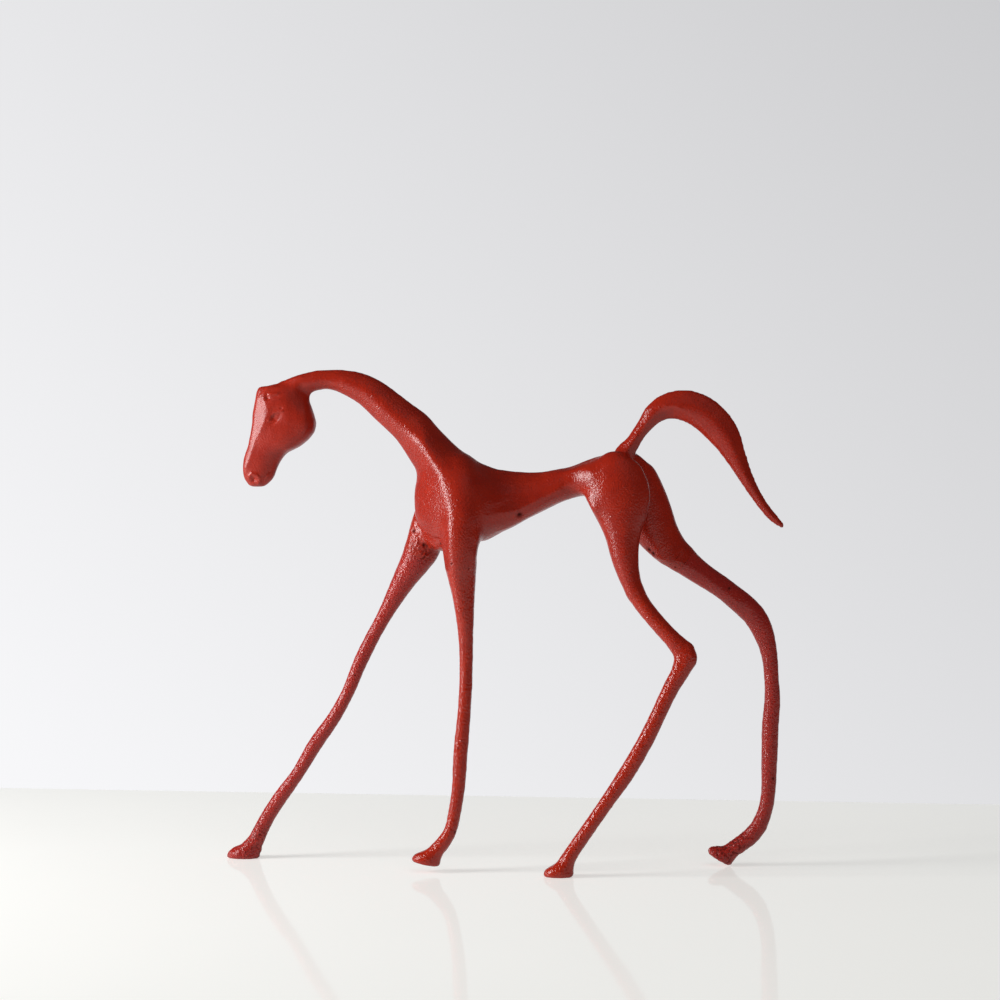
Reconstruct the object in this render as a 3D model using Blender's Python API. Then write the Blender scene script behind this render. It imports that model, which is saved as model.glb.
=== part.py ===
"""A walking horse figurine in painted metal, built from seven castings.

Each limb, the tail and the head are separate castings. A steel dowel locates each of them on the body, and a
weld fills the groove around the seam. The head points to -X, the near side to -Y, and the floor is at z = 0.
Sizes are in millimetres and become metres where a mesh is made.
"""
import math

import bmesh
import bpy
import numpy as np
from mathutils import Matrix, Vector

METRES = 0.001

# Joints between castings
SEAM_GAP = 0.3
FIT = 0.3
WELD_HALF_WIDTH = 2.0
WELD_DEPTH = 1.3
WELD_CROWN = 0.2
DOWEL_END_CHAMFER = 0.4
STUB_OVERRUN = 8.0
CUT_REACH = STUB_OVERRUN + 4.0
CUT_ROOM = 4.0

# Seams: station on the limb, dowel diameter, dowel length
HEAD_SEAM = (3, 3.0, 16)
NEAR_FORE_SEAM = (4, 5.0, 24)
FAR_FORE_SEAM = (4, 5.0, 24)
NEAR_HIND_SEAM = (7, 3.0, 16)
FAR_HIND_SEAM = (5, 4.0, 20)
TAIL_SEAM = (2, 2.5, 16)

# Hooves
HOOF_WIDTH = 11.0
HOOF_HEIGHT = 7.0
HOOF_TOE_ROUND = 0.9

# Fineness of the meshes
SIDES = 16
DOWEL_SIDES = 12
RING_STEP = 4.5
VOXEL = 1.1
BLEND_PASSES = 10
HOLLOW_PASSES = 60
BODY_TRIANGLES = 4800
HEAD_TRIANGLES = 1700

# Section shapes: 2 is an ellipse, less draws it towards a diamond with a ridge along each side
NECK_FULLNESS = 1.5
CHEST_FULLNESS = 1.35
TAIL_FULLNESS = 1.3

# Stations along each form: x, y, z, half depth in the side view, half width across
NECK_AND_BACK = (
    (-119, 0, 243.5, 4.1, 4.2),
    (-109, 0, 242.5, 8.2, 6),
    (-101.5, 0, 247.5, 6.1, 5.6),
    (-92.5, 0, 250, 5.3, 5.2),
    (-70.5, 0, 245.5, 7.8, 6.5),
    (-54, 0, 233, 9.3, 7.7),
    (-46, 0, 226, 9.7, 8.4),
    (-38.5, 0, 216.5, 10.4, 9.4),
    (-30.5, 0, 206.5, 12.4, 12),
    (-21.5, 0, 196, 16, 15),
    (-10, 0, 187, 20, 15.5),
    (1, 0, 188.6, 15.6, 13),
    (11, 0, 190, 12.4, 11),
    (21.5, 0, 192.5, 10, 10),
    (31.5, 0, 195.5, 8.1, 9.6),
    (41, 0, 198, 8.4, 10.5),
    (51, 0, 201, 9.6, 11.5),
    (61, 0, 202.5, 9, 11),
)
CHEST = (
    (-38, 0, 214, 6, 7),
    (-32, 0, 206, 12, 10),
    (-27.5, 0, 195, 17.2, 14),
    (-25.8, 0, 184, 17.7, 16),
    (-26.5, 0, 175, 16.5, 15),
    (-28.5, 0, 168, 11, 11),
    (-30, 0, 162.5, 5.5, 6.5),
)
BARREL = (
    (-8, 0, 177, 8, 12),
    (2, 0, 180.5, 8, 12),
    (13, 0, 185, 6.5, 11),
    (24, 0, 190, 5.5, 10),
    (35, 0, 194.5, 4.5, 9),
)
NEAR_FLANK = (
    (26, -1, 195, 7, 7),
    (38, -2, 197, 7, 7.5),
    (45.5, -4, 198, 8, 8),
    (53, -8, 198, 10, 9),
    (60, -9.5, 194, 11, 9),
    (66, -9.5, 188, 9, 8),
)
FAR_FLANK = (
    (28, 1, 195.5, 7, 7),
    (43, 4, 198.5, 7.5, 8.5),
    (56, 6.5, 200, 9, 9),
    (67, 8, 197, 11, 8.5),
    (72, 9, 192, 8, 7),
)
HEAD = (
    (-112, 0, 246.5, 13.3, 5.5),
    (-112, 0, 243.5, 14, 7.4),
    (-112, 0, 239.5, 14.4, 8.5),
    (-112, 0, 233, 16, 8.7),
    (-111.2, 0, 226, 17, 8.5),
    (-113.3, 0, 220.5, 16, 7.9),
    (-116.3, 0, 216, 13.7, 7.2),
    (-121.2, 0, 212, 10.3, 6.7),
    (-123, 0, 208, 9.6, 6.4),
    (-124, 0, 204, 8.7, 6.1),
    (-124.6, 0, 200, 8, 5.7),
    (-125, 0, 196.5, 6.5, 4.6),
    (-125.5, 0, 195, 4.2, 3),
)
TAIL = (
    (55, 0, 200, 7, 6),
    (63, 0, 209, 5.5, 5),
    (67.7, 0, 215.5, 3.9, 4),
    (74.6, 0, 225.5, 3.8, 3.7),
    (83, 0, 234, 6.1, 4),
    (89, 0, 236, 7.2, 4.2),
    (96.5, 0, 235.5, 8.2, 4.4),
    (116, 0, 219.5, 7.5, 4.1),
    (119.8, 0, 212, 5.7, 3.7),
    (127.2, 0, 197, 3.1, 2.7),
    (136, 0, 183, 2.3, 2.1),
    (140.5, 0, 178, 2, 1.8),
    (144.5, 0, 174.5, 0.9, 0.9),
)
NEAR_FORELEG = (
    (-23, -3, 208, 8, 6),
    (-18, -7, 198, 11.5, 7.5),
    (-16, -9.5, 184, 11.5, 8.5),
    (-17.5, -11, 163, 9, 7.8),
    (-17, -11.5, 155, 7.9, 7),
    (-15.2, -12.5, 134, 4.9, 4.8),
    (-15.4, -14.5, 81, 3.2, 3.3),
    (-16.9, -15, 64.5, 3.5, 3.5),
    (-19.5, -15.5, 34, 3.1, 3.2),
    (-23.5, -16, 18.5, 3.2, 3.4),
    (-27.5, -16, 13, 3.6, 3.8),
)
FAR_FORELEG = (
    (-27.5, 3, 208, 8, 6),
    (-29.5, 7, 198, 10, 7.5),
    (-33.5, 8.5, 184, 10, 8.5),
    (-37.5, 9, 171.5, 9.9, 8.4),
    (-41.5, 9.5, 161.3, 8.7, 7.6),
    (-50.5, 10.5, 146.3, 5.9, 5.8),
    (-59.3, 11, 130.7, 3.9, 3.8),
    (-72.7, 12, 105.8, 3.5, 3.4),
    (-81.5, 12.5, 85.5, 3.1, 3.2),
    (-87.5, 13, 75, 3.3, 3.4),
    (-98, 13.7, 60.3, 3.6, 3.5),
    (-107.3, 14.4, 45, 3.2, 3.3),
    (-116.2, 15, 33, 3.6, 3.5),
    (-123.4, 15.5, 22.2, 3.6, 3.5),
    (-130, 16, 9.5, 4, 4),
)
NEAR_HIND_LEG = (
    (57.5, -3.5, 210.5, 4, 4),
    (58.5, -6.5, 206.3, 10, 7.5),
    (60.5, -9.5, 198, 14.5, 9.4),
    (62.4, -10.5, 188.5, 15.3, 9.3),
    (63.8, -11, 178.5, 12, 9),
    (64.5, -12, 170, 8.9, 8),
    (65.5, -13, 160, 7, 7),
    (71, -14.5, 141.8, 4.5, 4.8),
    (83.8, -16, 124.8, 4, 4),
    (91.3, -16.5, 116.8, 4.4, 4),
    (96.3, -17, 110.8, 6, 4),
    (94.2, -17.5, 104, 4.6, 3.9),
    (89.6, -17.5, 95.7, 4, 3.7),
    (76, -19, 67.5, 3.8, 3.5),
    (67, -19.5, 52, 3.9, 3.6),
    (57.5, -20.5, 38, 3.4, 3.4),
    (40.3, -21.5, 13, 3.4, 3.6),
)
FAR_HIND_LEG = (
    (66.5, 3, 211, 4, 4),
    (68, 5.5, 205.5, 8.2, 6.5),
    (74.5, 9.5, 188, 11.4, 9),
    (79.5, 10.5, 173.5, 11.4, 8.8),
    (86, 11, 165, 8.8, 7.8),
    (93, 12, 158.5, 6.8, 6.6),
    (101, 13, 152, 5.4, 5.4),
    (116, 15, 141.8, 4.5, 4.5),
    (131.5, 16.5, 126.5, 5.6, 4.5),
    (137.5, 17.5, 109, 4, 3.9),
    (138.5, 18, 97.5, 3.6, 3.7),
    (139, 18.5, 86.5, 3.9, 3.8),
    (138, 19, 73, 4.2, 4),
    (137.5, 19.5, 56.5, 4, 3.9),
    (135, 20.5, 28, 3.6, 3.6),
    (132, 21, 20.5, 4, 3.8),
    (126.5, 21.5, 14, 4.2, 4.1),
)

# Where limbs run into the body in wide hollows: x, y, z, radius
HOLLOWS = (
    (-19, 0, 192, 30),
    (47, -8, 198, 18),
    (58, 8, 199, 16),
)

# Sole of each hoof: middle x, y, z, toe-up angle in degrees, length
NEAR_FORE_SOLE = (-35, -16, 4.3, 11, 14.5)
FAR_FORE_SOLE = (-137, 16, 0, 0, 17)
NEAR_HIND_SOLE = (33, -21.5, 0, 0, 15)
FAR_HIND_SOLE = (111.5, 21.5, 3.6, 31, 14)

RED_PAINT = (0.36, 0.012, 0.008, 1)
STEEL = (0.45, 0.45, 0.46, 1)


class Limb:
    """A smooth tube through stations, measured along its middle line. Sections stand square to it, or to facing."""

    def __init__(self, stations, fullness=2.0, facing=None):
        self.fullness = fullness
        self.facing = facing
        self.rows = np.array(stations, dtype=float)
        steps = np.linalg.norm(np.diff(self.rows[:, :3], axis=0), axis=1)
        self.reach = np.concatenate(([0.0], np.cumsum(steps)))
        self.slopes = np.gradient(self.rows, self.reach, axis=0)

    @property
    def length(self):
        return float(self.reach[-1])

    def at(self, s):
        """Middle, direction and half sizes of the section at distance s."""
        k = int(np.clip(np.searchsorted(self.reach, s) - 1, 0, len(self.reach) - 2))
        span = self.reach[k + 1] - self.reach[k]
        u = (s - self.reach[k]) / span
        p0, p1 = self.rows[k], self.rows[k + 1]
        m0, m1 = self.slopes[k] * span, self.slopes[k + 1] * span
        row = (
            (2 * u**3 - 3 * u**2 + 1) * p0
            + (u**3 - 2 * u**2 + u) * m0
            + (3 * u**2 - 2 * u**3) * p1
            + (u**3 - u**2) * m1
        )
        turn = (
            (6 * u**2 - 6 * u) * p0
            + (3 * u**2 - 4 * u + 1) * m0
            + (6 * u - 6 * u**2) * p1
            + (3 * u**2 - 2 * u) * m1
        )
        along = self.facing or Vector(turn[:3]).normalized()
        return Vector(row[:3]), along, float(row[3]), float(row[4])

    def axes(self, s):
        """Axes of the section at s: in the side view, and across it."""
        along = self.at(s)[1]
        across = Vector((0, 1, 0))
        across = (across - along * across.dot(along)).normalized()
        return across.cross(along), across

    def ring(self, s, inset=0.0, sides=SIDES):
        """The outline of the section at s, drawn in by inset."""
        middle, _, deep, wide = self.at(s)
        side, across = self.axes(s)
        return oval(middle, side, across, deep - inset, wide - inset, sides, self.fullness)

    def bore(self, s, offset, radius, sides=SIDES):
        """A circle on the straight axis through the section at s, offset along that axis."""
        middle, along, _, _ = self.at(s)
        side, across = self.axes(s)
        return oval(middle + along * offset, side, across, radius, radius, sides)

    def rings(self, start, end):
        count = max(2, round(abs(end - start) / RING_STEP) + 1)
        return [self.ring(s) for s in np.linspace(start, end, count)]


class Seam:
    """Where a casting is doweled and welded to the body, square across a limb."""

    def __init__(self, limb, station, dowel_diameter, dowel_length):
        self.limb = limb
        self.s = float(limb.reach[station])
        self.radius = dowel_diameter / 2
        self.half_length = dowel_length / 2


def oval(middle, side, across, deep, wide, sides, fullness=2.0):
    """Points around a section of half sizes deep and wide."""
    turns = [2 * math.pi * (k + 0.5) / sides for k in range(sides)]
    power = 2 / fullness
    points = []
    for c, s in ((math.cos(t), math.sin(t)) for t in turns):
        out = math.copysign(abs(c) ** power, c) * deep
        over = math.copysign(abs(s) ** power, s) * wide
        points.append(middle + side * out + across * over)
    return points


def add_object(name, mesh, material):
    ob = bpy.data.objects.new(name, mesh)
    bpy.context.scene.collection.objects.link(ob)
    mesh.materials.clear()
    mesh.materials.append(material)
    return ob


def paint(name, colour, metallic, roughness):
    material = bpy.data.materials.new(name)
    material.use_nodes = True
    shader = material.node_tree.nodes["Principled BSDF"]
    shader.inputs["Base Color"].default_value = colour
    shader.inputs["Metallic"].default_value = metallic
    shader.inputs["Roughness"].default_value = roughness
    return material


def skin_rings(bm, rings, closed=False):
    """Adds the surface through rings of points to bm, capped at both ends unless the rings run round in a loop."""
    loops = [[bm.verts.new(point * METRES) for point in ring] for ring in rings]
    pairs = list(zip(loops[:-1], loops[1:]))
    if closed:
        pairs.append((loops[-1], loops[0]))
    for a, b in pairs:
        for k in range(len(a)):
            j = (k + 1) % len(a)
            bm.faces.new((a[k], a[j], b[j], b[k]))
    if not closed:
        bm.faces.new(list(reversed(loops[0])))
        bm.faces.new(loops[-1])


def mesh_from_rings(name, *ring_lists, closed=False):
    bm = bmesh.new()
    for rings in ring_lists:
        skin_rings(bm, rings, closed)
    bmesh.ops.recalc_face_normals(bm, faces=bm.faces)
    mesh = bpy.data.meshes.new(name)
    bm.to_mesh(mesh)
    bm.free()
    return mesh


def applied(ob):
    """Gives ob the mesh that its modifiers make."""
    depsgraph = bpy.context.evaluated_depsgraph_get()
    mesh = bpy.data.meshes.new_from_object(ob.evaluated_get(depsgraph))
    ob.modifiers.clear()
    ob.data = mesh
    return ob


def near_hollows(point):
    """1 in the middle of a hollow, falling to 0 at its edge."""
    best = 0.0
    for x, y, z, radius in HOLLOWS:
        away = (point - Vector((x, y, z)) * METRES).length / (radius * METRES)
        best = max(best, min(1.0, 2.5 * (1 - away)))
    return best


def blend(ob, triangles):
    """Fuses the overlapping forms of ob into one skin, soft where they meet."""
    fuse = ob.modifiers.new("fuse", "REMESH")
    fuse.mode = "VOXEL"
    fuse.voxel_size = VOXEL * METRES
    applied(ob)
    group = ob.vertex_groups.new(name="hollows")
    for vertex in ob.data.vertices:
        group.add([vertex.index], near_hollows(vertex.co), "REPLACE")
    for passes, where in ((BLEND_PASSES, ""), (HOLLOW_PASSES, group.name)):
        soften = ob.modifiers.new("soften", "SMOOTH")
        soften.factor = 0.5
        soften.iterations = passes
        soften.vertex_group = where
    applied(ob)
    thin = ob.modifiers.new("thin", "DECIMATE")
    thin.ratio = min(1.0, triangles / (2 * len(ob.data.polygons)))
    applied(ob)


def weld_face(seam, side):
    """Rings from the bottom of a dowel hole to the root of the weld groove, on one side of the seam."""
    limb = seam.limb
    bore = seam.radius + FIT
    face = side * SEAM_GAP / 2
    root = WELD_DEPTH + FIT
    middle, along, deep, wide = limb.at(seam.s)
    return [
        limb.bore(seam.s, side * (seam.half_length + FIT), bore),
        limb.bore(seam.s, face, bore),
        oval(middle + along * face, *limb.axes(seam.s), deep - root, wide - root, SIDES, limb.fullness),
    ]


def groove_lip(seam, side):
    """Distance along the limb to the outer edge of the weld groove."""
    return seam.s + side * (WELD_HALF_WIDTH + FIT)


def cut_seam(ob, seam, side):
    """Cuts ob square at the seam, with its half of the weld groove and a dowel hole. ob keeps what lies on side."""
    limb = seam.limb
    lip = groove_lip(seam, side)
    middle, along, deep, wide = limb.at(seam.s)
    beyond = middle - along * (side * CUT_REACH)
    rings = weld_face(seam, side)
    rings.append(limb.ring(lip, -FIT / 2))
    rings.append(limb.ring(lip, -CUT_ROOM))
    rings.append(oval(beyond, *limb.axes(seam.s), deep + CUT_ROOM, wide + CUT_ROOM, SIDES, limb.fullness))
    cutter = add_object("cutter", mesh_from_rings("cutter", rings), ob.data.materials[0])
    cutter.hide_render = True
    cutter.display_type = "WIRE"
    cut = ob.modifiers.new("seam", "BOOLEAN")
    cut.operation = "DIFFERENCE"
    cut.solver = "EXACT"
    cut.object = cutter
    applied(ob)
    bpy.data.objects.remove(cutter)


def hoof_rings(sole):
    """Rings of a hoof from its wall down to a flat sole with rounded edges."""
    x, y, z, pitch, length = sole
    turn = Matrix.Rotation(math.radians(pitch), 3, "Y")
    toe, up, across = turn @ Vector((-1, 0, 0)), turn @ Vector((0, 0, 1)), Vector((0, 1, 0))
    middle = Vector((x, y, z))
    deep, wide = length / 2, HOOF_WIDTH / 2
    return [
        oval(middle + up * HOOF_HEIGHT - toe * deep * 0.48, toe, across, deep * 0.59, wide * 0.8, SIDES),
        oval(middle + up * HOOF_HEIGHT * 0.45 - toe * deep * 0.04, toe, across, deep * 0.95, wide, SIDES),
        oval(middle + up * HOOF_TOE_ROUND, toe, across, deep, wide, SIDES),
        oval(middle, toe, across, deep - HOOF_TOE_ROUND, wide - HOOF_TOE_ROUND, SIDES),
    ]


def leg(name, limb, seam, sole, material):
    rings = weld_face(seam, 1) + limb.rings(groove_lip(seam, 1), limb.length) + hoof_rings(sole)
    return add_object(name, mesh_from_rings(name, rings), material)


def tail(seam, material):
    rings = weld_face(seam, 1) + seam.limb.rings(groove_lip(seam, 1), seam.limb.length)
    return add_object("tail", mesh_from_rings("tail", rings), material)


def head(back, seam, material):
    """The head, with a short length of neck up to its seam."""
    skull = Limb(HEAD, facing=Vector((0, 0, -1)))
    nape = back.rings(0, seam.s + STUB_OVERRUN)
    ob = add_object("head", mesh_from_rings("head", skull.rings(0, skull.length), nape), material)
    blend(ob, HEAD_TRIANGLES)
    cut_seam(ob, seam, -1)
    return ob


def body(back, seams, material):
    """Neck, chest and barrel in one casting, with a stub for each limb and the tail."""
    forms = [back.rings(seams["head"].s - STUB_OVERRUN, back.length)]
    for form in (Limb(CHEST, CHEST_FULLNESS), Limb(BARREL), Limb(NEAR_FLANK), Limb(FAR_FLANK)):
        forms.append(form.rings(0, form.length))
    limbs = [seam for name, seam in seams.items() if name != "head"]
    for seam in limbs:
        forms.append(seam.limb.rings(0, seam.s + STUB_OVERRUN))
    ob = add_object("body", mesh_from_rings("body", *forms), material)
    blend(ob, BODY_TRIANGLES)
    cut_seam(ob, seams["head"], 1)
    for seam in limbs:
        cut_seam(ob, seam, -1)
    return ob


def dowel(name, seam, material):
    half, radius = seam.half_length, seam.radius
    rings = [
        seam.limb.bore(seam.s, -half, radius - DOWEL_END_CHAMFER, DOWEL_SIDES),
        seam.limb.bore(seam.s, -half + DOWEL_END_CHAMFER, radius, DOWEL_SIDES),
        seam.limb.bore(seam.s, half - DOWEL_END_CHAMFER, radius, DOWEL_SIDES),
        seam.limb.bore(seam.s, half, radius - DOWEL_END_CHAMFER, DOWEL_SIDES),
    ]
    return add_object(name, mesh_from_rings(name, rings), material)


def weld(name, seam, material):
    limb = seam.limb
    rings = [
        limb.ring(seam.s - WELD_HALF_WIDTH),
        limb.ring(seam.s, -WELD_CROWN),
        limb.ring(seam.s + WELD_HALF_WIDTH),
        limb.ring(seam.s, WELD_DEPTH),
    ]
    return add_object(name, mesh_from_rings(name, rings, closed=True), material)


def build():
    for ob in list(bpy.data.objects):
        bpy.data.objects.remove(ob)
    back = Limb(NECK_AND_BACK, NECK_FULLNESS)
    seams = {
        "head": Seam(back, *HEAD_SEAM),
        "near_foreleg": Seam(Limb(NEAR_FORELEG), *NEAR_FORE_SEAM),
        "far_foreleg": Seam(Limb(FAR_FORELEG), *FAR_FORE_SEAM),
        "near_hind_leg": Seam(Limb(NEAR_HIND_LEG), *NEAR_HIND_SEAM),
        "far_hind_leg": Seam(Limb(FAR_HIND_LEG), *FAR_HIND_SEAM),
        "tail": Seam(Limb(TAIL, TAIL_FULLNESS), *TAIL_SEAM),
    }
    soles = {
        "near_foreleg": NEAR_FORE_SOLE,
        "far_foreleg": FAR_FORE_SOLE,
        "near_hind_leg": NEAR_HIND_SOLE,
        "far_hind_leg": FAR_HIND_SOLE,
    }
    head(back, seams["head"], paint("head_paint", RED_PAINT, 0, 0.4))
    body(back, seams, paint("body_paint", RED_PAINT, 0, 0.4))
    tail(seams["tail"], paint("tail_paint", RED_PAINT, 0, 0.4))
    for name, sole in soles.items():
        leg(name, seams[name].limb, seams[name], sole, paint(name + "_paint", RED_PAINT, 0, 0.45))
    for name, seam in seams.items():
        dowel(name + "_dowel", seam, paint(name + "_dowel_steel", STEEL, 1, 0.3))
        weld(name + "_weld", seam, paint(name + "_weld_paint", RED_PAINT, 0, 0.5))


build()
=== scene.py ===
"""Looks of a red-painted cast metal horse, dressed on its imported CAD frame.

Sizes and places on the horse are in mm, with the head towards -X and the near side towards -Y.
Patterns are sized in mm too, and the table, the lamps and the camera are placed in m.
"""
import math

import bmesh
import bpy
import numpy as np
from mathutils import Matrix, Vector, noise


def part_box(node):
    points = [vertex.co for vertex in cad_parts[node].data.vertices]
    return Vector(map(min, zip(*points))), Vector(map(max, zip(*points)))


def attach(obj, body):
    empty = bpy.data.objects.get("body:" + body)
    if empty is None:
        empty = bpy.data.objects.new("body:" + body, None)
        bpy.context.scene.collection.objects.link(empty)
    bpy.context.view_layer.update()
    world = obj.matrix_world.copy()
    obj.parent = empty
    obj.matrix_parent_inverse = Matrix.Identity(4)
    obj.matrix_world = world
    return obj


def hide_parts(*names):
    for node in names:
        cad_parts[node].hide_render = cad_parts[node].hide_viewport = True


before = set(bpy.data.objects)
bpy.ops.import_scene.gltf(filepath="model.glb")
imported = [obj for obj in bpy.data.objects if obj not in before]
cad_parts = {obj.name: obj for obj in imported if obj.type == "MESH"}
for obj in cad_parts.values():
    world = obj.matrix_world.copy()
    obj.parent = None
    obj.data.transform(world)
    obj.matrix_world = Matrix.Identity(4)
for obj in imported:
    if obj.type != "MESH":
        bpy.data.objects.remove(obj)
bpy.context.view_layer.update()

# The castings as one skin.
# Seven iron castings, doweled and welded together, ground at the seams and painted in one go. The paint runs
# unbroken over them, so one fine skin is drawn over all, and the sections below cut their pieces from it.
MM_PER_M = 1000
CASTINGS = ("head", "body", "tail", "near_foreleg", "far_foreleg", "near_hind_leg", "far_hind_leg")
JOINED = [name for name in CASTINGS if name != "body"]
LONGEST, SHORTEST = 0, 2
WELD_FILLER = {"axis_rank": SHORTEST, "along": 1.35, "around": 1.0}
DOWEL_FILLER = {"axis_rank": LONGEST, "along": 1.1, "around": 1.3}
SAME_POINT_M = 1e-6
SKIN_STEP = 0.9
SHRINK, SWELL = 0.6, -0.62
SMOOTHING_PASSES = 100
HOOF_KEPT_BELOW, HOOF_SMOOTH_ABOVE = 2.0, 14.0
HOOF_SHARE = 0.1
HEAD_SHARE = 0.35
TAIL_TIP_FROM = 126
TAIL_TIP_SHARE = 0.15
FILED_HOCK = ((97.5, -20.5, 113), 5)
FILED_CREST = ((-92, 0, 251), 9)
FILED_RUMP = ((53.5, -4, 212), 7)
FILED_SHARE = 0.5
FILING_PASSES = 30
PAINT_FILM = 0.2


def points(node):
    """The different points of a CAD node's mesh."""
    co = np.array([v.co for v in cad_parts[node].data.vertices]) * MM_PER_M
    return np.unique(co.round(3), axis=0)


def principal(co):
    """The middle of a cloud of points and its axes, longest first."""
    middle = (co.min(0) + co.max(0)) / 2
    return middle, np.linalg.svd(co - co.mean(0), full_matrices=False)[2]


def add_filler(bm, node, axis_rank, along, around):
    """Adds a node's convex hull to bm, stretched along and around an axis, to leave no gap at a seam."""
    co = points(node)
    middle, axes = principal(co)
    axis = axes[axis_rank]
    part = ((co - middle) @ axis)[:, None] * axis
    stretched = middle + part * along + (co - middle - part) * around
    verts = [bm.verts.new(p / MM_PER_M) for p in stretched]
    bmesh.ops.convex_hull(bm, input=verts)


def islands(count, pairs):
    """A label for each of count things: those joined by pairs share one."""
    label = np.arange(count)
    while True:
        low = np.minimum(label[pairs[:, 0]], label[pairs[:, 1]])
        new = label.copy()
        for ends in (pairs[:, 0], pairs[:, 1], label[pairs[:, 0]], label[pairs[:, 1]]):
            np.minimum.at(new, ends, low)
        new = new[new]
        if (new == label).all():
            return label
        label = new


def with_modifier(mesh, kind, settings):
    """The mesh after one modifier, as points, quads and edges."""
    ob = bpy.data.objects.new("skin", mesh)
    bpy.context.scene.collection.objects.link(ob)
    modifier = ob.modifiers.new("skin", kind)
    for key, value in settings.items():
        setattr(modifier, key, value)
    made = bpy.data.meshes.new_from_object(ob.evaluated_get(bpy.context.evaluated_depsgraph_get()))
    bpy.data.objects.remove(ob)
    co = np.empty(len(made.vertices) * 3)
    made.vertices.foreach_get("co", co)
    quads = np.empty(len(made.loops), np.int64)
    made.loops.foreach_get("vertex_index", quads)
    edges = np.empty(len(made.edges) * 2, np.int64)
    made.edges.foreach_get("vertices", edges)
    return co.reshape(-1, 3) * MM_PER_M, quads.reshape(-1, 4), edges.reshape(-1, 2)


def fused_skin():
    """Points, quads and edges of one closed skin over all castings and welds."""
    bm = bmesh.new()
    for name in CASTINGS:
        bm.from_mesh(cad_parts[name].data)
    bmesh.ops.remove_doubles(bm, verts=bm.verts, dist=SAME_POINT_M)
    for name in JOINED:
        add_filler(bm, name + "_weld", **WELD_FILLER)
        add_filler(bm, name + "_dowel", **DOWEL_FILLER)
    mesh = bpy.data.meshes.new("skin")
    bm.to_mesh(mesh)
    bm.free()
    co, quads, edges = with_modifier(mesh, "REMESH", {"mode": "VOXEL", "voxel_size": SKIN_STEP / MM_PER_M})
    label = islands(len(co), edges)
    keep = label == np.bincount(label).argmax()
    new_index = np.cumsum(keep) - 1
    return co[keep], new_index[quads[keep[quads[:, 0]]]], new_index[edges[keep[edges[:, 0]]]]


def neighbour_mean(values):
    """The mean of each point's neighbours on the skin."""
    total = np.zeros_like(values)
    for a, b in ((0, 1), (1, 0)):
        for k in range(values.shape[1]):
            total[:, k] += np.bincount(edges[:, a], values[edges[:, b], k], len(values))
    return total / np.bincount(edges.ravel(), minlength=len(values))[:, None]


def smoothed(co, weight):
    """Evens out facets without thinning the limbs, by turns of shrinking and swelling."""
    for _ in range(SMOOTHING_PASSES):
        for step in (SHRINK, SWELL):
            co = co + step * weight[:, None] * (neighbour_mean(co) - co)
    return co


def filed(co):
    """Rounds off the places where corners and seams were filed down."""
    spots = (FILED_HOCK, FILED_CREST, FILED_RUMP)
    nearness = [np.exp(-(((co - place) / radius) ** 2).sum(1)) for place, radius in spots]
    weight = FILED_SHARE * np.max(nearness, axis=0)[:, None]
    for _ in range(FILING_PASSES):
        co = co + weight * (neighbour_mean(co) - co)
    return co


def normals_of(co):
    """The outward direction at each point of the skin."""
    cross = np.cross(co[quads[:, 2]] - co[quads[:, 0]], co[quads[:, 3]] - co[quads[:, 1]])
    total = np.zeros_like(co)
    for corner in range(4):
        for k in range(3):
            total[:, k] += np.bincount(quads[:, corner], cross[:, k], len(co))
    return total / np.linalg.norm(total, axis=1)[:, None]


skin, quads, edges = fused_skin()
above_hoof = (skin[:, 2] - HOOF_KEPT_BELOW) / (HOOF_SMOOTH_ABOVE - HOOF_KEPT_BELOW)
weight = np.clip(above_hoof, HOOF_SHARE, 1.0)
weight[skin[:, 0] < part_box("head")[1][0] * MM_PER_M] *= HEAD_SHARE
weight[skin[:, 0] > TAIL_TIP_FROM] = TAIL_TIP_SHARE
coarse_skin = bpy.data.meshes.new("skin")
coarse_skin.from_pydata((filed(smoothed(skin, weight)) / MM_PER_M).tolist(), [], quads.tolist())
skin, quads, edges = with_modifier(coarse_skin, "SUBSURF", {"levels": 1, "render_levels": 1})
outward = normals_of(skin)
skin = skin + outward * PAINT_FILM
skin[:, 2] = np.maximum(skin[:, 2], 0.0)
still = skin.copy()

# Sand-cast surface.
# The moulds were sand, so the metal has soft lumps of a few millimetres all over, coarse on the legs, which
# were barely dressed, and finer on the body and head. Grains that fell out left small pits. The paint is
# darkened in the pits and between coarse lumps, partly as dirt and partly as painted shade.
LUMP = 3.2
FINE_LUMP_HEIGHT, COARSE_LUMP_HEIGHT = 0.03, 0.1
COARSE_BELOW, FINE_ABOVE = 125, 165
SMALL_LUMP_SHARE, SMALL_LUMPS_PER_LUMP = 0.6, 2.1
STROKE_REACH, SHELF_REACH = 6, 2
TAIL_SIDE_SHARPNESS = 0.8
SHELF_STEEPNESS = 4
TINY = 1e-9
ROUGH_REACH = 2.5
SOIL_AND_SHADE_CONTRAST = 3
PITS = 40
PIT_SEED = 5
PITTED_FROM, PITTED_TO = 8, 170
PIT_WIDTH = (0.35, 0.75)
PIT_DEPTH = (0.15, 0.4)
coarseness = np.clip((FINE_ABOVE - skin[:, 2]) / (FINE_ABOVE - COARSE_BELOW), 0, 1)
lump_height = FINE_LUMP_HEIGHT + (COARSE_LUMP_HEIGHT - FINE_LUMP_HEIGHT) * coarseness
lumps = np.array([
    noise.noise(Vector(p)) + SMALL_LUMP_SHARE * noise.noise(Vector(p) * SMALL_LUMPS_PER_LUMP)
    for p in skin / LUMP
])
skin = skin + outward * (lumps * lump_height)[:, None]
# How dark each point of the paint gets, for dirt and painted shade in pits and hollows.
dirt_and_shade = np.zeros(len(skin))


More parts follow.
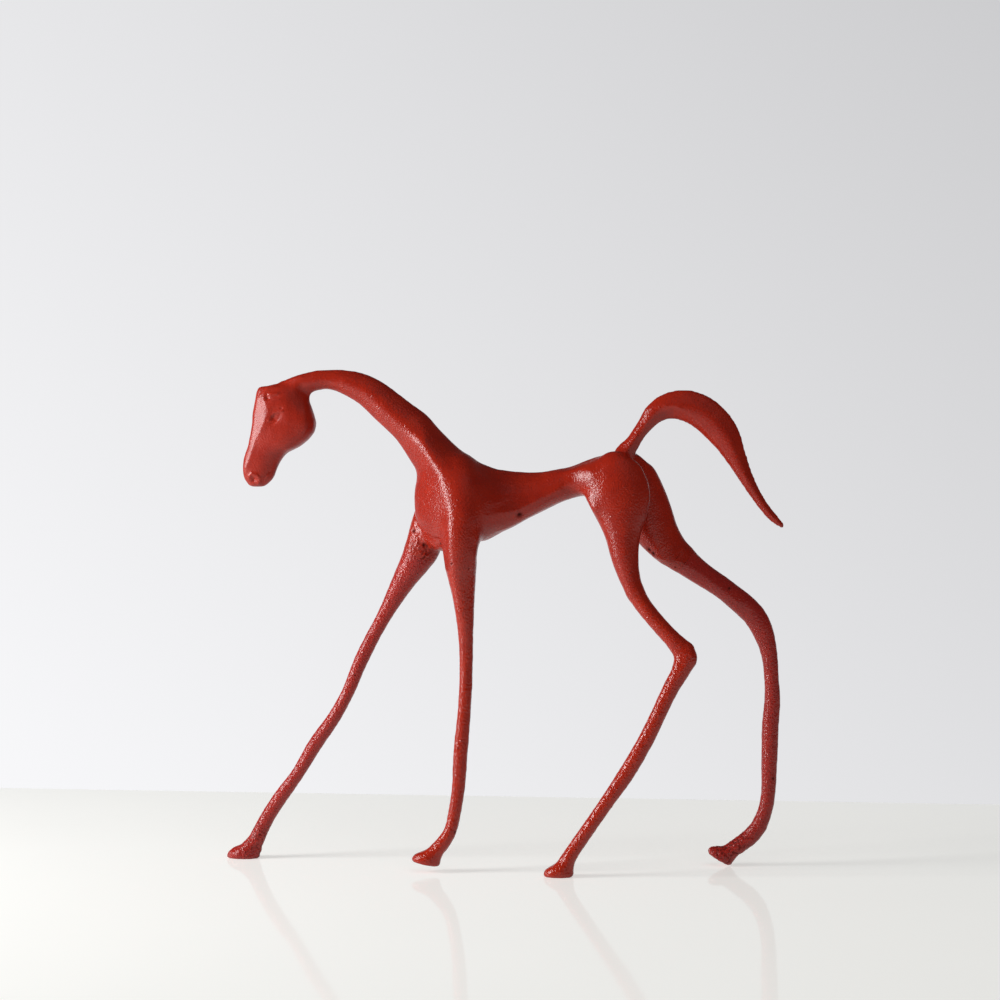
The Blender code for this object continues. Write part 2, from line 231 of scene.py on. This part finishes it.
def press(path, height, width, rounding=None, mirrored=False, rear=None, shelf=None, sideways=0):
    """Raises the skin along a line of points, or sinks it where height is negative.

    The line is a soft swelling, or an edge of the given rounding. On the line's tail side it may have another
    width, rear, or keep its height up to the width shelf. A mirrored line is on both sides of the horse.
    Points move along the skin's normals, or straight out to the side, fully from the distance sideways off
    the middle of the horse. Gives the points near the line and how strongly each was pressed.
    """
    path = np.array(path, float)
    q = still.copy()
    if mirrored:
        q[:, 1] = -np.abs(q[:, 1])
    reach = max(STROKE_REACH * width, STROKE_REACH * (rear or 0), SHELF_REACH * (shelf or 0))
    near = np.flatnonzero(((q > path.min(0) - reach) & (q < path.max(0) + reach)).all(1))
    q = q[near]
    if len(path) == 1:
        path = np.repeat(path, 2, axis=0)
    best = np.full(len(q), np.inf)
    side = np.zeros(len(q))
    for a, b in zip(path[:-1], path[1:]):
        t = np.clip((q - a) @ (b - a) / max((b - a) @ (b - a), TINY), 0, 1)
        away = q - a - t[:, None] * (b - a)
        far = np.linalg.norm(away, axis=1)
        side = np.where(far < best, away[:, 0] / np.maximum(far, TINY), side)
        best = np.minimum(best, far)
    tailward = np.clip(0.5 + TAIL_SIDE_SHARPNESS * side, 0, 1)
    spread = width + tailward * ((rear or width) - width)
    if rounding is None:
        strength = np.exp(-((best / spread) ** 2))
    else:
        strength = np.exp(-(np.hypot(best, rounding) - rounding) / spread)
    if shelf is not None:
        strength += tailward * (np.exp(-((best / shelf) ** SHELF_STEEPNESS)) - strength)
    way = np.clip(still[near, 1:2] / sideways, -1, 1) * (0, 1, 0) if sideways else outward[near]
    skin[near] += way * (height * strength)[:, None]
    return near, strength


def pit(place, depth, width):
    """A small hole in the metal, dark with dirt and painted shade."""
    near, strength = press([place], -depth, width)
    dirt_and_shade[near] = np.maximum(dirt_and_shade[near], strength)


def roughen(place, radius, height, lump, soil_and_shade):
    """Coarse lumps of the given size around a place, with dirt and painted shade between them."""
    near = np.flatnonzero(np.linalg.norm(still - place, axis=1) < ROUGH_REACH * radius)
    lumps = np.array([noise.noise(Vector(q) / lump) for q in still[near]])
    fade = np.exp(-((np.linalg.norm(still[near] - place, axis=1) / radius) ** 2))
    skin[near] += outward[near] * (height * lumps * fade)[:, None]
    # Dirt and painted shade in the hollows between the lumps.
    dirt_and_shade[near] = np.maximum(dirt_and_shade[near], soil_and_shade * fade * np.clip(-SOIL_AND_SHADE_CONTRAST * lumps, 0, 1))


chance = np.random.default_rng(PIT_SEED)
pitted = np.flatnonzero((skin[:, 2] > PITTED_FROM) & (skin[:, 2] < PITTED_TO))
for k in chance.choice(pitted, PITS, replace=False):
    pit(still[k], chance.uniform(*PIT_DEPTH), chance.uniform(*PIT_WIDTH))

# Paint.
# Red enamel, brushed on and air dried: semi-gloss, a little mottled, and thin enough for the sand's grain to
# show, which is drawn as coarse as it needs to be for that. The legs have the same enamel, but their red is
# painted lighter as painted light, and that of the far legs more crimson as a painted cooler light.
MOTTLE = 25 / 3
MOTTLE_ENDS = (0.3, 0.7)
SPECK_SPACING = 10 / 3
SPECK_RADIUS = 0.8
RED = ("#AA2210", "#BA2A13")
# A lighter copy of the red for the near legs, as painted light.
NEAR_LEG_RED_WITH_PAINTED_LIGHT = ("#B42613", "#C42E15")
# A more crimson copy of the red for the far legs, as painted cooler light.
CRIMSON_WITH_PAINTED_COOL_LIGHT = ("#AC251E", "#BD2E23")
# The dark of the dirt and painted shade in pits and hollows.
DIRT_AND_SHADE = "#38100C"
DIRT_ROUGHNESS = 0.8
PAINT_SPECULAR, DIRT_SPECULAR = 0.5, 0.05


def linear(colour):
    """sRGB hex to linear RGBA."""
    parts = [int(colour[k : k + 2], 16) / 255 for k in (1, 3, 5)]
    return [c / 12.92 if c <= 0.04045 else ((c + 0.055) / 1.055) ** 2.4 for c in parts] + [1.0]


def add_node(tree, kind, settings=None, inputs=None):
    """Adds a shader node. Inputs are values, or sockets to link from."""
    made = tree.nodes.new("ShaderNode" + kind)
    for key, value in (settings or {}).items():
        setattr(made, key, value)
    for key, value in (inputs or {}).items():
        if isinstance(value, bpy.types.NodeSocket):
            tree.links.new(value, made.inputs[key])
        else:
            made.inputs[key].default_value = value
    return made


def add_material(name):
    """Adds a material, and gives it with its node tree, its shader and the place on the object."""
    material = bpy.data.materials.new(name)
    material.use_nodes = True
    tree = material.node_tree
    return material, tree, tree.nodes["Principled BSDF"], add_node(tree, "TexCoord").outputs["Object"]


def red_enamel(name, grain, grain_height, speck_height, roughness, reds=RED):
    """Semi-gloss enamel on cast iron: mottled reds, dirt and painted shade in pits, and a grain that breaks
    up the highlights.
    """
    material, tree, shader, place = add_material(name)
    pattern = {"Vector": place, "Scale": MM_PER_M / MOTTLE, "Detail": 4, "Roughness": 0.6}
    mottle = add_node(tree, "TexNoise", {}, pattern).outputs["Fac"]
    tones = add_node(tree, "ValToRGB", {}, {"Fac": mottle})
    for element, red, end in zip(tones.color_ramp.elements, reds, MOTTLE_ENDS):
        element.position = end
        element.color = linear(red)
    # Dirt and painted shade darken the paint in pits and hollows, and dull it there.
    soil_and_shade = add_node(tree, "Attribute", {"attribute_name": "dirt_and_shade"}).outputs["Fac"]
    layers = {"Fac": soil_and_shade, "Color1": tones.outputs["Color"], "Color2": linear(DIRT_AND_SHADE)}
    tree.links.new(add_node(tree, "MixRGB", {}, layers).outputs["Color"], shader.inputs["Base Color"])
    pattern = {"Vector": place, "Scale": MM_PER_M / grain, "Detail": 1, "Roughness": 0.4}
    grit = add_node(tree, "TexNoise", {}, pattern).outputs["Fac"]
    relief = {"Height": grit, "Strength": 1.0, "Distance": grain_height / MM_PER_M}
    grained = add_node(tree, "Bump", {}, relief).outputs["Normal"]
    pattern = {"Vector": place, "Scale": MM_PER_M / SPECK_SPACING}
    from_speck = add_node(tree, "TexVoronoi", {}, pattern).outputs["Distance"]
    ends = {"From Max": SPECK_RADIUS / SPECK_SPACING, "To Min": 1, "To Max": 0}
    specks = add_node(tree, "MapRange", {}, {"Value": from_speck, **ends}).outputs["Result"]
    relief = {"Height": specks, "Strength": 1.0, "Distance": speck_height / MM_PER_M, "Normal": grained}
    tree.links.new(add_node(tree, "Bump", {}, relief).outputs["Normal"], shader.inputs["Normal"])
    ends = {"To Min": roughness, "To Max": DIRT_ROUGHNESS}
    dull = add_node(tree, "MapRange", {}, {"Value": soil_and_shade, **ends}).outputs["Result"]
    tree.links.new(dull, shader.inputs["Roughness"])
    ends = {"To Min": PAINT_SPECULAR, "To Max": DIRT_SPECULAR}
    gloss = add_node(tree, "MapRange", {}, {"Value": soil_and_shade, **ends}).outputs["Result"]
    tree.links.new(gloss, shader.inputs["Specular IOR Level"])
    return material


head_paint = red_enamel(
    "red_enamel_on_smooth_casting", grain=0.85, grain_height=0.12, speck_height=0.05, roughness=0.36,
)
body_paint = red_enamel(
    "red_enamel_on_fine_casting", grain=0.9, grain_height=0.25, speck_height=0.16, roughness=0.26,
)
# The legs' enamel carries painted light in its lighter reds.
leg_paint = red_enamel(
    "red_enamel_with_painted_light_on_rough_casting", grain=0.95, grain_height=0.4, speck_height=0.25, roughness=0.17,
    reds=NEAR_LEG_RED_WITH_PAINTED_LIGHT,
)
# The far legs' enamel carries painted cooler light in its more crimson reds.
far_leg_paint = red_enamel(
    "red_enamel_with_painted_cool_light_on_rough_casting", grain=1.0, grain_height=0.5, speck_height=0.25, roughness=0.24,
    reds=CRIMSON_WITH_PAINTED_COOL_LIGHT,
)
weld_paint = red_enamel(
    "red_enamel_on_ground_weld", grain=0.9, grain_height=0.26, speck_height=0.16, roughness=0.26,
)

# Cutting the skin.
# Each weld is a narrow band around its seam, and between the bands lie the castings. A band's quads are found
# by their distance from the CAD weld's plane, and a casting's by spreading from quad to quad up to the bands.
BAND = 2.3
BAND_REACH = 16
BOX_MARGIN = 1
mids = still[quads].mean(1)
band = np.full(len(quads), -1)
for k, name in enumerate(JOINED):
    middle, axes = principal(points(name + "_weld"))
    away = mids - middle
    band[(np.abs(away @ axes[SHORTEST]) < BAND) & (np.linalg.norm(away, axis=1) < BAND_REACH)] = k
sides = np.sort(np.concatenate([quads[:, [a, (a + 1) % 4]] for a in range(4)]), axis=1)
owner = np.tile(np.arange(len(quads)), 4)
order = np.lexsort((sides[:, 1], sides[:, 0]))
same = (sides[order][1:] == sides[order][:-1]).all(1)
touching = np.stack([owner[order][:-1][same], owner[order][1:][same]], axis=1)
touching = touching[band[touching[:, 0]] == band[touching[:, 1]]]
region = islands(len(quads), touching)


def add_piece(name, chosen, material, node):
    """Makes a piece of the chosen quads, with the shading of the whole skin, and closes its cut ends."""
    skin[:, 2] = np.maximum(skin[:, 2], 0.0)
    shade = normals_of(skin)
    used, corner = np.unique(quads[chosen], return_inverse=True)
    mesh = bpy.data.meshes.new(name)
    mesh.from_pydata((skin[used] / MM_PER_M).tolist(), [], corner.reshape(-1, 4).tolist())
    bm = bmesh.new()
    bm.from_mesh(mesh)
    bmesh.ops.holes_fill(bm, edges=[e for e in bm.edges if e.is_boundary], sides=0)
    bm.to_mesh(mesh)
    bm.free()
    mesh.polygons.foreach_set("use_smooth", [True] * len(mesh.polygons))
    mesh.materials.append(material)
    mesh.normals_split_custom_set_from_vertices(shade[used].tolist())
    mesh.attributes.new("dirt_and_shade", "FLOAT", "POINT").data.foreach_set("value", dirt_and_shade[used])
    ob = bpy.data.objects.new(name, mesh)
    bpy.context.scene.collection.objects.link(ob)
    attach(ob, "root")
    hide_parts(node)


def add_casting(name, paint):
    """Makes the piece of the largest region inside a CAD casting's box."""
    low, high = (np.array(c) * MM_PER_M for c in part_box(name))
    inside = (band < 0) & ((mids > low - BOX_MARGIN) & (mids < high + BOX_MARGIN)).all(1)
    label = np.bincount(region[inside]).argmax()
    add_piece(name + "_casting", region == label, paint, name)


# Head.
# A small angular iron casting with a round cheek, doweled and welded to the neck. A ridge parts the flat nose
# from the side; the brow, eye, nostril and mouth were pressed into the pattern and came out soft.
NOSE_RIDGE = [
    (-120, -7, 239.5), (-118.5, -7.5, 236), (-117.5, -8, 233), (-119, -7.5, 229.5), (-120.5, -7, 226.5),
    (-125, -5, 218), (-127.5, -5, 210), (-129.5, -4.5, 205),
]
BROW = [(-122, -5.5, 241.5), (-120.5, -6, 242.5), (-118.5, -5.5, 245), (-116, -4.5, 246), (-112, -1.5, 248.5)]
BROW_HOLLOW = [(-118.5, -7, 240.5)]
BROW_FOLD = [(-117.5, -7, 242), (-113, -7.5, 242.5)]
BROW_GROOVE = [(-117, -7.5, 240), (-113, -8, 241.5)]
UPPER_LID = [(-117.5, -8, 229), (-116.5, -8, 231), (-114.5, -8.5, 233), (-110.5, -8.5, 233.5)]
NOSE_FLAT = [
    (-131.5, -2, 203), (-130, -2, 211), (-128, -2.2, 219), (-126, -2.5, 227), (-124.5, -2.5, 236),
    (-123.5, -2.5, 243),
]
CROWN_FLAT = [(-122, -3, 246.5), (-116, -3, 248), (-109, -3, 250), (-102, -3, 251.5)]
EYE_SOCKET = [(-114.5, -8.5, 231)]
EYE = [(-115, -8.5, 230)]
CHEEK_RIM = [
    (-98.6, -5, 232), (-98.2, -5, 228), (-98.5, -4.8, 224.5), (-100, -4, 220.5), (-103.5, -4, 217.5),
    (-108, -3.5, 214.5),
]
UPPER_CHEEK = [(-101, -5, 241)]
LOWER_LID = [(-116, -8, 227), (-114.5, -8.5, 227.5), (-112.5, -8.5, 230), (-111.5, -8.5, 232)]
CHEEK_DENT = [(-111, -8.5, 235)]
NOSTRIL = [(-126.5, -4.5, 198.5)]
NOSTRIL_RIM = [
    (-128.5, -4.5, 200), (-127, -5.5, 201.5), (-124.5, -5.5, 201), (-123, -5, 199), (-124, -3.5, 196.5),
]
MOUTH = [(-118, -4, 202.5), (-120, -4.5, 201), (-121, -4, 198.5), (-122, -2.5, 196)]
LIP = [(-116.8, -4, 202.3), (-119, -4.5, 200.5), (-120, -4, 198), (-121, -2.5, 195.8)]
THROAT = [(-101.5, -5, 246), (-99, -3, 242), (-98, -1.5, 239)]
press(NOSE_RIDGE, height=0.9, width=3, rounding=0.5, mirrored=True)
press(BROW, height=0.5, width=1.2, mirrored=True)
press(BROW_HOLLOW, height=-1.0, width=1.1, mirrored=True)
press(BROW_FOLD, height=0.45, width=0.8, mirrored=True)
press(BROW_GROOVE, height=-0.35, width=0.8, mirrored=True)
press(UPPER_LID, height=0.4, width=0.7, mirrored=True)
press(NOSE_FLAT, height=1.3, width=3.0, mirrored=True, sideways=2)
press(CROWN_FLAT, height=0.9, width=2.0, rounding=0.5, mirrored=True, sideways=2)
press(EYE_SOCKET, height=-0.8, width=4, mirrored=True)
press(EYE, height=-0.4, width=1.4, mirrored=True)
press(CHEEK_RIM, height=2.4, width=7, rounding=1, mirrored=True, sideways=2)
press(UPPER_CHEEK, height=-1.3, width=6, mirrored=True, sideways=2)
press(LOWER_LID, height=-0.2, width=0.8, mirrored=True)
press(CHEEK_DENT, height=-0.4, width=0.6, mirrored=True)
press(NOSTRIL, height=-1.2, width=1.3, mirrored=True)
press(NOSTRIL_RIM, height=0.5, width=0.8, mirrored=True)
press(MOUTH, height=-0.3, width=0.7, mirrored=True)
press(LIP, height=0.35, width=0.6, mirrored=True)
press(THROAT, height=-0.5, width=2.5, mirrored=True)
add_casting("head", head_paint)

# Body.
# Neck, breast, barrel and haunches in one iron casting, which carries the others. A sharp edge runs down the
# near side of the neck and over the shoulder, and the stubs of the far legs are pitted from the welding.
NECK_EDGE = [(-58, -6.5, 233), (-47, -7.5, 224), (-40, -8.5, 220)]
CHEST_EDGE = [
    (-35.5, -9.4, 217.7), (-33.8, -10.5, 213.6), (-31.6, -11.5, 209.6), (-28.9, -12.4, 205.5),
    (-26.1, -13.6, 201.4), (-24.3, -15.4, 193.3), (-22.6, -16.5, 189.3), (-21.4, -17.9, 181.2),
    (-21.4, -18.3, 174), (-21, -18.8, 165.1), (-21, -18.6, 158), (-20, -17.5, 149), (-18.5, -17, 140),
    (-18.5, -16, 132.5),
]
BREAST_FOLD = [
    (-43.5, 4.5, 181), (-42.5, 2, 178), (-41.5, 1.5, 174.5), (-38.5, -1.5, 171.5), (-36, -4.5, 170),
    (-32.5, -8, 168.5), (-28, -11, 167.5),
]
BELLY_EDGE = [
    (-4, -12.5, 180), (2.7, -12, 181.7), (10, -11, 182.7), (17.5, -9.5, 185.5), (22.8, -9.9, 188.5),
    (32.5, -8.5, 193),
]
KEEL = [(-6, -7.5, 171), (2.3, -6.5, 173.8), (12, -5.5, 178.5), (22.4, -5, 183.8), (34.8, -4, 189.3)]
LOIN_EDGE = [(28, -5, 199.5), (32.5, -6, 201), (40, -7.5, 202.5), (45.5, -11, 203), (49, -14.5, 202)]
WITHERS = [(-38, 0, 229), (-32, 0, 223.8), (-22.3, 0, 212.6), (-16.6, 0, 209)]
BACK = [(-10.5, 0, 205.6), (0, 0, 203.5), (10, 0, 203)]
BEHIND_ELBOW = [(-7, -4, 170.5)]
ELBOW = [(-7.7, -16, 168), (-8.7, -16, 161)]
BELLY_PIT_LIP = [(11, -10.5, 183)]
BELLY_PIT = (12, -9.5, 181)
FAR_FORE_PITS = ((-44, 3, 172), (-38.5, 1.5, 165), (-37, 1.5, 164.5), (-33, -4, 164))
FAR_HIND_PITS = ((77, 6, 163), (79.5, 6, 161.5))
THIGH_FOLD = [(82, 5, 160), (92.7, 5.4, 157), (102.7, 7.9, 150.5), (112.8, 10, 143.2), (122, 11.5, 136)]
INNER_FOLD = [(84, 8, 156.5), (92.6, 8.5, 152), (102.7, 10, 146), (112.8, 12.2, 139.3), (122, 13.5, 132)]
HAUNCH_RIM = [
    (62.5, -12.5, 210.5), (66, -13.5, 208.5), (69, -13, 206.5), (72, -11.5, 204), (74.5, -12.5, 199),
    (76, -13, 193), (76.5, -13, 188), (75, -13.5, 181),
]
LOIN_DIP = [(36, -3, 206), (42, -3, 208.3), (46, -3, 209.6)]
TAIL_SEAT = [(61.5, 0, 213.8), (63, 0, 215.5)]
FLANK = [(44.5, -11, 189.5), (48.4, -13.7, 187.7), (51, -15.5, 184)]
FAR_HAUNCH_DIP = [(72.5, 6, 209.5), (75.5, 6.5, 207.5)]
SHOULDER = [
    (-13.3, -16.4, 193.3), (-11.6, -17.5, 189.3), (-10.4, -18.9, 181.2), (-10.4, -19.3, 174.0),
    (-10.0, -19.8, 165.1),
]
BREAST_LIP = [(-43, 3.5, 183), (-42, 1.5, 180), (-40.5, 0.5, 176.5), (-37.5, -2.5, 173.5), (-34.5, -5.5, 172)]
SCARRED_STUB, SCARRED_SEAM = (-37, 3, 159.5), (-41, 3, 164)
press(NECK_EDGE, height=0.6, width=4, rounding=2)
press(CHEST_EDGE, height=3.87, width=4.9, rounding=3.2, rear=16, sideways=6)
press(BREAST_FOLD, height=-0.7, width=1.4)
press(BELLY_EDGE, height=1.2, width=5, rounding=0.8)
press(KEEL, height=0.6, width=3, rounding=0.8)
press(LOIN_EDGE, height=0.7, width=3, rounding=0.8)
press(WITHERS, height=1.1, width=6)
press(BACK, height=0.5, width=5)
press(BEHIND_ELBOW, height=2.0, width=5)
press(ELBOW, height=1.3, width=4)
press(BELLY_PIT_LIP, height=0.4, width=1.0)
pit(BELLY_PIT, depth=1.0, width=1.5)
for place in FAR_FORE_PITS:
    pit(place, depth=0.6, width=1.0)
for place in FAR_HIND_PITS:
    pit(place, depth=0.6, width=1.2)
press(THIGH_FOLD, height=2.6, width=4.5, rounding=0.4)
press(INNER_FOLD, height=0.6, width=2.5, rounding=0.8)
press(HAUNCH_RIM, height=1.2, width=4, rounding=2.0)
press(LOIN_DIP, height=-0.7, width=4, mirrored=True)
press(TAIL_SEAT, height=0.8, width=2.0)
press(FLANK, height=1.3, width=3)
press(FAR_HAUNCH_DIP, height=-0.6, width=2.5)
press(SHOULDER, height=5.5, width=21.0, shelf=13.7, mirrored=True, sideways=9)
press(BREAST_LIP, height=0.5, width=1.0)
roughen(SCARRED_STUB, radius=4, height=0.5, lump=1.1, soil_and_shade=0.7)
roughen(SCARRED_SEAM, radius=7, height=0.55, lump=1.3, soil_and_shade=0.3)
add_casting("body", body_paint)

# Tail.
# A flat iron leaf on a thin root, cast in one piece with a ridge along each side. A dowel and a weld hold it
# on the stub between the haunches.
TAIL_RIDGE = [
    (76, -2, 233), (82, -3.5, 236.5), (90.5, -4, 235.5), (98, -3.5, 231), (105.5, -3, 223.5),
    (113, -3, 214.5), (120, -2.8, 204), (126, -2.5, 194),
]
press(TAIL_RIDGE, height=0.8, width=3, rounding=0.7, mirrored=True)
add_casting("tail", body_paint)

# Legs.
# Four slim iron castings with the hooves in one piece, doweled and welded to the body. They were cast in
# coarser sand and barely dressed; the flash along the mould's parting was knocked off and left notches.
FAR_FORE_TOE = [(-142, 16, 5.5)]
FAR_FORE_HEEL = [(-128.5, 16, 5)]
FAR_HIND_PASTERN = [(110, 18, 22)]
NEAR_HOCK = [(101, -20, 111.5)]
ROUGH_FORE_HOOF, ROUGH_HIND_HOOF = (-126, 16, 8), (117, 18, 12)
FLASH_NOTCHES = ((76.5, -17.5, 139), (87, -20.5, 96))
press(FAR_FORE_TOE, height=0.6, width=2.5)
press(FAR_FORE_HEEL, height=1.3, width=3)
press(FAR_HIND_PASTERN, height=0.8, width=8)
press(NEAR_HOCK, height=1.2, width=4)
roughen(ROUGH_FORE_HOOF, radius=12, height=0.15, lump=1.1, soil_and_shade=0.6)
roughen(ROUGH_HIND_HOOF, radius=14, height=0.35, lump=1.3, soil_and_shade=0.7)
for place in FLASH_NOTCHES:
    press([place], height=-0.5, width=1.0)
for name in ("near_foreleg", "near_hind_leg"):
    add_casting(name, leg_paint)
for name in ("far_foreleg", "far_hind_leg"):
    add_casting(name, far_leg_paint)

# Welds.
# A bead of weld metal fills the groove around each seam. It was ground near flush and painted together with
# the castings.
for k, name in enumerate(JOINED):
    add_piece(name + "_bead", band == k, weld_paint, name + "_weld")

# Dowels.
# Drawn steel pins in blind holes, hidden inside the joints: plain bright metal with the streaks of the
# drawing die, made coarser than they are.
STREAK = 5 / 3
STEEL = ("#9A9A9C", "#C8C8CA")
STEEL_ROUGHNESS = 0.3
steel, tree, shader, place = add_material("drawn_steel")
streaks = add_node(tree, "TexNoise", {}, {"Vector": place, "Scale": MM_PER_M / STREAK, "Detail": 2})
tones = add_node(tree, "ValToRGB", {}, {"Fac": streaks.outputs["Fac"]})
for element, grey in zip(tones.color_ramp.elements, STEEL):
    element.color = linear(grey)
tree.links.new(tones.outputs["Color"], shader.inputs["Base Color"])
shader.inputs["Metallic"].default_value = 1
shader.inputs["Roughness"].default_value = STEEL_ROUGHNESS
for name in JOINED:
    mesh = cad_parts[name + "_dowel"].data
    mesh.materials.clear()
    mesh.materials.append(steel)

# Table.
# A pale lacquered table top that mirrors the legs softly; its far edge shows behind the horse. A glow of its
# own stands for the daylight that the rest of the room throws on it.
TABLE_X = (-3.0, 3.0)
TABLE_Y = (-3.0, 0.27)
CLOUD = 1000 / 9
LACQUER = ("#DFDFDC", "#E4E4E1")
LACQUER_COAT, LACQUER_ROUGHNESS = 0.4, 0.06
DAYLIGHT = "#FFFFFB"
DIM_GLOW, SEEN_GLOW = 0.15, 0.54
MIRRORED_SHARE = 0.45
mesh = bpy.data.meshes.new("table")
corners = [(TABLE_X[a], TABLE_Y[b], 0) for a, b in ((0, 0), (1, 0), (1, 1), (0, 1))]
mesh.from_pydata(corners, [], [(0, 1, 2, 3)])
table = bpy.data.objects.new("table", mesh)
bpy.context.scene.collection.objects.link(table)
lacquer, tree, shader, place = add_material("pale_lacquer")
clouds = add_node(tree, "TexNoise", {}, {"Vector": place, "Scale": MM_PER_M / CLOUD, "Detail": 3})
tones = add_node(tree, "ValToRGB", {}, {"Fac": clouds.outputs["Fac"]})
for element, grey in zip(tones.color_ramp.elements, LACQUER):
    element.color = linear(grey)
tree.links.new(tones.outputs["Color"], shader.inputs["Base Color"])
shader.inputs["Specular IOR Level"].default_value = 0
shader.inputs["Coat Weight"].default_value = LACQUER_COAT
shader.inputs["Coat Roughness"].default_value = LACQUER_ROUGHNESS
shader.inputs["Emission Color"].default_value = linear(DAYLIGHT)
rays = add_node(tree, "LightPath").outputs
in_mirror = add_node(tree, "Math", {"operation": "MULTIPLY"}, {0: rays["Is Glossy Ray"], 1: MIRRORED_SHARE})
ways = {0: rays["Is Camera Ray"], 1: in_mirror.outputs["Value"]}
seen = add_node(tree, "Math", {"operation": "MAXIMUM"}, ways).outputs["Value"]
ends = {"To Min": DIM_GLOW, "To Max": SEEN_GLOW}
glow = add_node(tree, "MapRange", {}, {"Value": seen, **ends}).outputs["Result"]
tree.links.new(glow, shader.inputs["Emission Strength"])
mesh.materials.append(lacquer)

# Light.
# A soft window to the left, a weak fill from the front, a pale wall behind that dims towards the upper right,
# and a dim room behind the camera. In the paint, only the low middle of the wall shines.
WINDOW_AT, WINDOW_FACES = (-0.891, -0.337, 0.4), (-0.02, -0.02, 0.2)
WINDOW_SIZE, WINDOW_POWER = (0.34, 0.56), 8.4
FILL_AT, FILL_FACES = (0.41, -0.87, 1.3), (0, 0, 0.15)
FILL_SIZE, FILL_POWER = (1.2, 1.2), 4.2
WALL_DIMS_TOWARDS = (1.29, 0.16, 1.2)
FADE_FROM, FADE_TO = -0.44, 0.56
WALL = ("#F8F8FA", "#CCCCCE")
BEHIND_HORSE = (-0.15, 0.98, 0.0)
SHINE_FROM, SHINE_FULL = 0.62, 0.96
SHINE_TOP, SHINE_LEVEL = 0.34, 0.1
ROOM = ("#3C3C3C", "#EEEEF0")


def add_area(name, place, target, size, power):
    """Adds a rectangular lamp that faces a target."""
    lamp = bpy.data.lights.new(name, "AREA")
    lamp.shape = "RECTANGLE"
    lamp.size, lamp.size_y = size
    lamp.energy = power
    ob = bpy.data.objects.new(name, lamp)
    ob.location = place
    ob.rotation_euler = (Vector(target) - Vector(place)).to_track_quat("-Z", "Y").to_euler()
    bpy.context.scene.collection.objects.link(ob)
    return ob


add_area("window", WINDOW_AT, WINDOW_FACES, WINDOW_SIZE, WINDOW_POWER)
fill = add_area("fill", FILL_AT, FILL_FACES, FILL_SIZE, FILL_POWER)
fill.visible_glossy = False
world = bpy.data.worlds.new("room")
bpy.context.scene.world = world
world.use_nodes = True
tree = world.node_tree
tree.nodes.clear()
direction = add_node(tree, "TexCoord").outputs["Generated"]
dot = {"operation": "DOT_PRODUCT"}
across = add_node(tree, "VectorMath", dot, {0: direction, 1: WALL_DIMS_TOWARDS}).outputs["Value"]
ends = {"From Min": FADE_FROM, "From Max": FADE_TO}
fade = add_node(tree, "MapRange", {}, {"Value": across, **ends}).outputs["Result"]
wall = add_node(tree, "ValToRGB", {}, {"Fac": fade})
ahead = add_node(tree, "VectorMath", dot, {0: direction, 1: BEHIND_HORSE}).outputs["Value"]
ends = {"From Min": SHINE_FROM, "From Max": SHINE_FULL}
in_middle = add_node(tree, "MapRange", {}, {"Value": ahead, **ends}).outputs["Result"]
rise = add_node(tree, "SeparateXYZ", {}, {"Vector": direction}).outputs["Z"]
ends = {"From Min": SHINE_TOP, "From Max": SHINE_LEVEL}
low_down = add_node(tree, "MapRange", {}, {"Value": rise, **ends}).outputs["Result"]
shine = add_node(tree, "Math", {"operation": "MULTIPLY"}, {0: in_middle, 1: low_down}).outputs["Value"]
room = add_node(tree, "ValToRGB", {}, {"Fac": shine})
for tones, greys in ((wall, WALL), (room, ROOM)):
    for element, grey in zip(tones.color_ramp.elements, greys):
        element.color = linear(grey)
layers = {
    "Fac": add_node(tree, "LightPath").outputs["Is Camera Ray"],
    "Color1": room.outputs["Color"],
    "Color2": wall.outputs["Color"],
}
shown = add_node(tree, "MixRGB", {}, layers).outputs["Color"]
glow = add_node(tree, "Background", {}, {"Color": shown, "Strength": 1.0}).outputs["Background"]
add_node(tree, "OutputWorld", {}, {"Surface": glow})

# Camera.
# Level, from about 1.1 m and a little to the tail's side of square, as in the photograph. The lens is one of
# 79 mm on a full frame.
TURN = math.radians(7)
DISTANCE = 1.1203
AIM_X = 0.001
CAMERA_HEIGHT = 0.188
FRAME_WIDTH, FOCAL_LENGTH = 36, 79
lens = bpy.data.cameras.new("camera")
lens.sensor_width = FRAME_WIDTH
lens.lens = FOCAL_LENGTH
camera = bpy.data.objects.new("camera", lens)
camera.location = (AIM_X + DISTANCE * math.sin(TURN), -DISTANCE * math.cos(TURN), CAMERA_HEIGHT)
camera.rotation_euler = (math.pi / 2, 0, TURN)
bpy.context.scene.collection.objects.link(camera)
bpy.context.scene.camera = camera
bpy.context.scene.view_settings.view_transform = "Standard"
